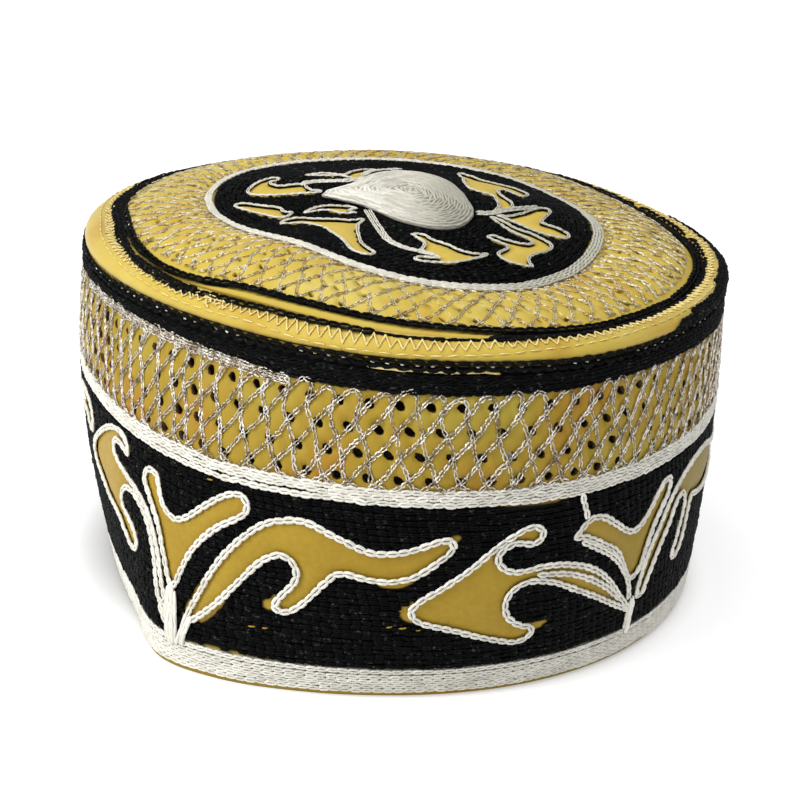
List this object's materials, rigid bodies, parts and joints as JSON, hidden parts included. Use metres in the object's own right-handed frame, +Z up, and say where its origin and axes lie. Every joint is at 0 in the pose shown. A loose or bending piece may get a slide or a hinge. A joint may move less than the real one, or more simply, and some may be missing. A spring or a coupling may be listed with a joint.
{
  "type": "prayer cap",
  "caption": "Round stiff embroidered prayer cap with a pierced net zone, flame ornament, braided edges and a low domed crown, resting on its rim.",
  "frame": {"origin": "on the surface that the cap rests on, under the middle of its outline", "axes": "+Z up, -Y to the front, +X to the wearer's left when the front faces the viewer"},
  "size_m": [0.1899, 0.1982, 0.115],
  "materials": {
    "yellow_satin": "ochre yellow satin weave with a soft sheen",
    "black_thread": "matte black embroidery thread",
    "white_thread": "white rayon embroidery thread, slightly glossy",
    "silver_thread": "twisted silver metallic thread, glinting",
    "yellow_thread": "pale yellow sewing thread"
  },
  "bodies": {
    "root": {"side_band": "yellow_satin", "crown": "yellow_satin", "edge_roll": "yellow_satin", "black_rim_braid": "black_thread", "white_middle_braid": "white_thread", "black_field": "black_thread", "white_hem_braid": "white_thread", "black_crown_braid": "black_thread", "white_crown_ring": "white_thread", "black_medallion": "black_thread", "crown_boss": "white_thread"}
  },
  "joints": []
}
